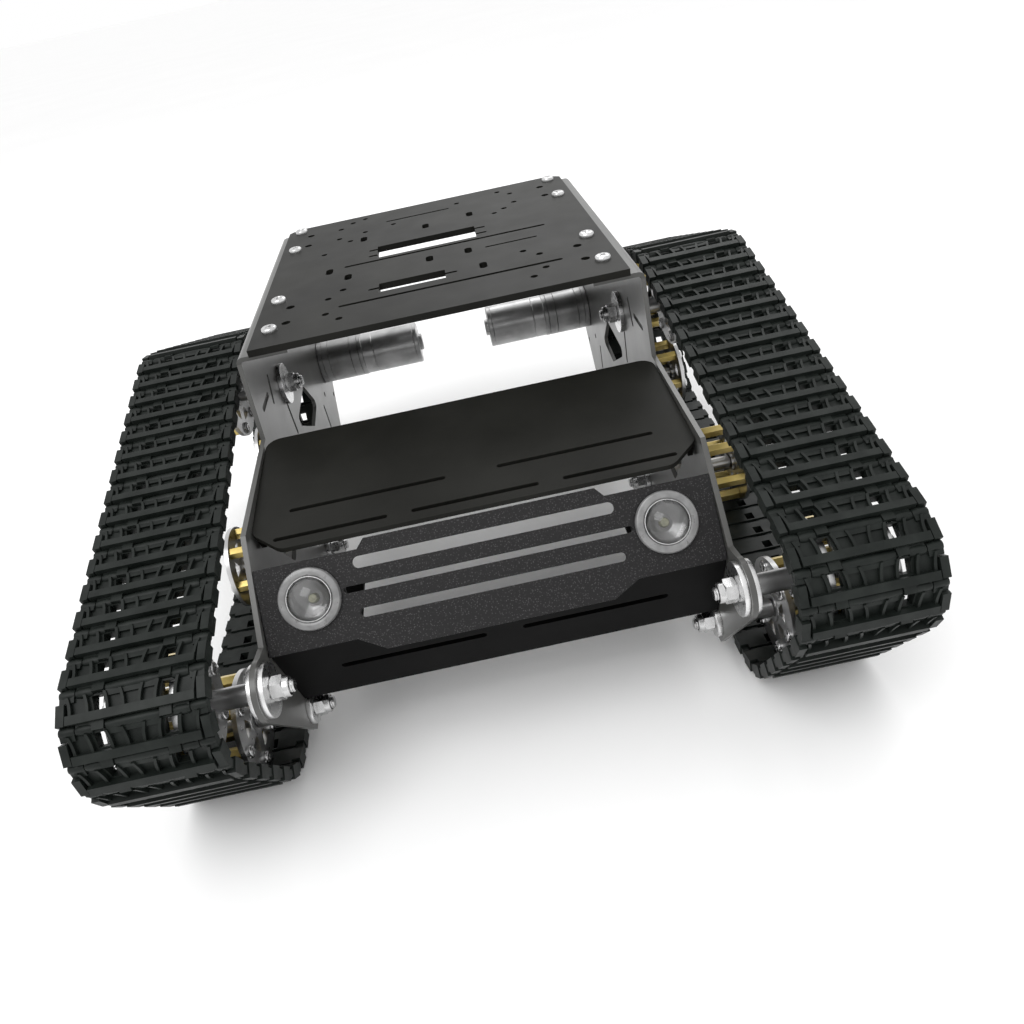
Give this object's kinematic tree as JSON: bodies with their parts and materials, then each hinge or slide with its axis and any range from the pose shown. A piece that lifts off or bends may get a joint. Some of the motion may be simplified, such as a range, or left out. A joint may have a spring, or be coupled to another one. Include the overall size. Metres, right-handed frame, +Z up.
{
  "type": "tracked tank chassis",
  "caption": "Low sheet-metal robot hull on two link tracks, with a drilled top deck, a sloping nose, headlights, sprockets and road wheels.",
  "frame": {"origin": "on the ground, under the middle of the outline", "axes": "+Z up, the nose faces -Y, +X is the right side as seen from the front"},
  "size_m": [0.289, 0.3313, 0.15],
  "materials": {
    "anodised_plate": "satin",
    "satin_cover": "satin",
    "speckled_paint": "fine speckled satin",
    "tray_paint": "satin",
    "motor_steel": "satin",
    "track_plastic": "satin",
    "brass": "satin",
    "lamp_bezel": "satin",
    "lamp_glass": "gloss",
    "lamp_led": "gloss",
    "lamp_nut": "matte",
    "zinc_disc": "satin",
    "washer_steel": "satin",
    "turned_steel": "satin",
    "fastener_steel": "satin"
  },
  "bodies": {
    "hull": {"top_deck": "anodised_plate", "left_side_plate": "anodised_plate", "right_side_plate": "anodised_plate", "nose_cover": "satin_cover", "front_panel": "speckled_paint", "lower_tray": "tray_paint", "gearboxes": "motor_steel", "motor_cans": "motor_steel", "motor_screws": "fastener_steel", "deck_screws": "fastener_steel", "deck_nuts": "fastener_steel", "panel_screws": "fastener_steel", "axle_bolts": "fastener_steel", "axle_nuts": "fastener_steel", "plate_washers": "washer_steel", "axle_tubes": "turned_steel", "lamp_bezels": "lamp_bezel", "lamp_nuts": "lamp_nut", "lamp_lenses": "lamp_glass", "lamp_boards": "lamp_led", "left_track_links": "track_plastic", "right_track_links": "track_plastic", "track_pins": "fastener_steel"},
    "left_idler": {"left_idler_wheel": "zinc_disc", "left_idler_standoffs": "brass"},
    "left_roller": {"left_roller_wheel": "zinc_disc", "left_roller_standoffs": "brass"},
    "left_road_1": {"left_road_wheel_1": "zinc_disc", "left_road_standoffs_1": "brass"},
    "left_road_2": {"left_road_wheel_2": "zinc_disc", "left_road_standoffs_2": "brass"},
    "left_road_3": {"left_road_wheel_3": "zinc_disc", "left_road_standoffs_3": "brass"},
    "left_drive": {"left_sprocket": "zinc_disc", "left_sprocket_standoffs": "brass", "left_sprocket_hub": "turned_steel", "left_output_shaft": "fastener_steel"},
    "right_idler": {"right_idler_wheel": "zinc_disc", "right_idler_standoffs": "brass"},
    "right_roller": {"right_roller_wheel": "zinc_disc", "right_roller_standoffs": "brass"},
    "right_road_1": {"right_road_wheel_1": "zinc_disc", "right_road_standoffs_1": "brass"},
    "right_road_2": {"right_road_wheel_2": "zinc_disc", "right_road_standoffs_2": "brass"},
    "right_road_3": {"right_road_wheel_3": "zinc_disc", "right_road_standoffs_3": "brass"},
    "right_drive": {"right_sprocket": "zinc_disc", "right_sprocket_standoffs": "brass", "right_sprocket_hub": "turned_steel", "right_output_shaft": "fastener_steel"}
  },
  "joints": [
    {"name": "left_idler_spin", "type": "hinge", "parent": "hull", "child": "left_idler", "pos_m": [-0.12, -0.1386, 0.069], "axis": [1, 0, 0], "continuous": true},
    {"name": "left_roller_spin", "type": "hinge", "parent": "hull", "child": "left_roller", "pos_m": [-0.12, 0.029, 0.108], "axis": [1, 0, 0], "continuous": true},
    {"name": "left_road_1_spin", "type": "hinge", "parent": "hull", "child": "left_road_1", "pos_m": [-0.12, -0.1105, 0.02794], "axis": [1, 0, 0], "continuous": true},
    {"name": "left_road_2_spin", "type": "hinge", "parent": "hull", "child": "left_road_2", "pos_m": [-0.12, -0.0015, 0.0272], "axis": [1, 0, 0], "continuous": true},
    {"name": "left_road_3_spin", "type": "hinge", "parent": "hull", "child": "left_road_3", "pos_m": [-0.12, 0.1075, 0.02794], "axis": [1, 0, 0], "continuous": true},
    {"name": "left_drive_spin", "type": "hinge", "parent": "hull", "child": "left_drive", "pos_m": [-0.12, 0.1355, 0.071], "axis": [1, 0, 0], "continuous": true},
    {"name": "right_idler_spin", "type": "hinge", "parent": "hull", "child": "right_idler", "pos_m": [0.12, -0.1386, 0.069], "axis": [1, 0, 0], "continuous": true},
    {"name": "right_roller_spin", "type": "hinge", "parent": "hull", "child": "right_roller", "pos_m": [0.12, 0.029, 0.108], "axis": [1, 0, 0], "continuous": true},
    {"name": "right_road_1_spin", "type": "hinge", "parent": "hull", "child": "right_road_1", "pos_m": [0.12, -0.1105, 0.02794], "axis": [1, 0, 0], "continuous": true},
    {"name": "right_road_2_spin", "type": "hinge", "parent": "hull", "child": "right_road_2", "pos_m": [0.12, -0.0015, 0.0272], "axis": [1, 0, 0], "continuous": true},
    {"name": "right_road_3_spin", "type": "hinge", "parent": "hull", "child": "right_road_3", "pos_m": [0.12, 0.1075, 0.02794], "axis": [1, 0, 0], "continuous": true},
    {"name": "right_drive_spin", "type": "hinge", "parent": "hull", "child": "right_drive", "pos_m": [0.12, 0.1355, 0.071], "axis": [1, 0, 0], "continuous": true}
  ],
  "couplings": [
    {"joint": "left_idler_spin", "follows": "left_drive_spin", "ratio": 1.274},
    {"joint": "left_roller_spin", "follows": "left_drive_spin", "ratio": 1.274},
    {"joint": "left_road_1_spin", "follows": "left_drive_spin", "ratio": 1.274},
    {"joint": "left_road_2_spin", "follows": "left_drive_spin", "ratio": 1.274},
    {"joint": "left_road_3_spin", "follows": "left_drive_spin", "ratio": 1.274},
    {"joint": "right_idler_spin", "follows": "right_drive_spin", "ratio": 1.274},
    {"joint": "right_roller_spin", "follows": "right_drive_spin", "ratio": 1.274},
    {"joint": "right_road_1_spin", "follows": "right_drive_spin", "ratio": 1.274},
    {"joint": "right_road_2_spin", "follows": "right_drive_spin", "ratio": 1.274},
    {"joint": "right_road_3_spin", "follows": "right_drive_spin", "ratio": 1.274}
  ]
}
